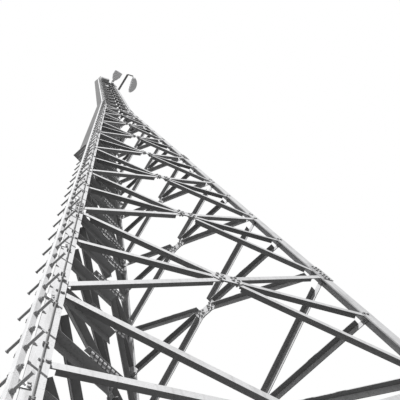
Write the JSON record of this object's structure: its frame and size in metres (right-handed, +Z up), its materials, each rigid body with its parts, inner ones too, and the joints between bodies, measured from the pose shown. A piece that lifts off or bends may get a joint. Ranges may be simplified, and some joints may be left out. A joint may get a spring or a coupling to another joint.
{
  "type": "self-supporting radio tower",
  "caption": "Three-legged galvanised lattice tower with X-braced tapering faces, a pegged climbing rail and cable tray on one leg, and a slim mast head with two small antennas",
  "frame": {"origin": "underside of the back leg's foot plate, at the middle of its anchor bolts", "axes": "X across the front face to the right, Y from the front face to the back leg, Z up"},
  "size_m": [4.7428, 4.1074, 36.212],
  "materials": {
    "foot_plates": "galvanised plate, dull",
    "leg_steel": "hot-dip galvanised, weathered, faint spangle",
    "brace_steel": "hot-dip galvanised angle, dull",
    "splice_plates": "galvanised plate, dull",
    "fitting_steel": "galvanised fittings",
    "ladder_steel": "galvanised tube and bar, dull",
    "tray_steel": "folded sheet, grey coating, matt",
    "grey_boxes": "grey paint, matt",
    "earth_wire": "round steel wire, darkened",
    "antenna_shell": "pale grey moulded shell, matt",
    "reflector_sheet": "grey formed sheet"
  },
  "bodies": {
    "root": {"front_left_foot": "foot_plates", "front_right_foot": "foot_plates", "back_foot": "foot_plates", "front_left_leg_lower": "leg_steel", "front_right_leg_lower": "leg_steel", "back_leg_lower": "leg_steel", "front_left_leg_middle": "leg_steel", "front_right_leg_middle": "leg_steel", "back_leg_middle": "leg_steel", "front_left_leg_upper": "leg_steel", "front_right_leg_upper": "leg_steel", "back_leg_upper": "leg_steel", "front_left_head_leg": "leg_steel", "front_right_head_leg": "leg_steel", "back_head_leg": "leg_steel", "front_bottom_bracing": "brace_steel", "right_bottom_bracing": "brace_steel", "left_bottom_bracing": "brace_steel", "front_lower_bracing": "brace_steel", "right_lower_bracing": "brace_steel", "left_lower_bracing": "brace_steel", "front_middle_bracing": "brace_steel", "right_middle_bracing": "brace_steel", "left_middle_bracing": "brace_steel", "front_upper_bracing": "brace_steel", "right_upper_bracing": "brace_steel", "left_upper_bracing": "brace_steel", "front_head_bracing": "brace_steel", "right_head_bracing": "brace_steel", "left_head_bracing": "brace_steel", "leg_splice_plates": "splice_plates", "head_top_frame": "fitting_steel", "climbing_ladder_lower": "ladder_steel", "climbing_ladder_middle": "ladder_steel", "climbing_ladder_upper": "ladder_steel", "climbing_ladder_head": "ladder_steel", "cable_tray": "tray_steel", "rest_platform": "grey_boxes", "earth_conductor": "earth_wire", "drum_antenna": "antenna_shell", "drum_antenna_mount": "fitting_steel", "dish_reflector": "reflector_sheet", "outrigger_arm": "fitting_steel", "head_junction_box": "grey_boxes"}
  },
  "joints": []
}
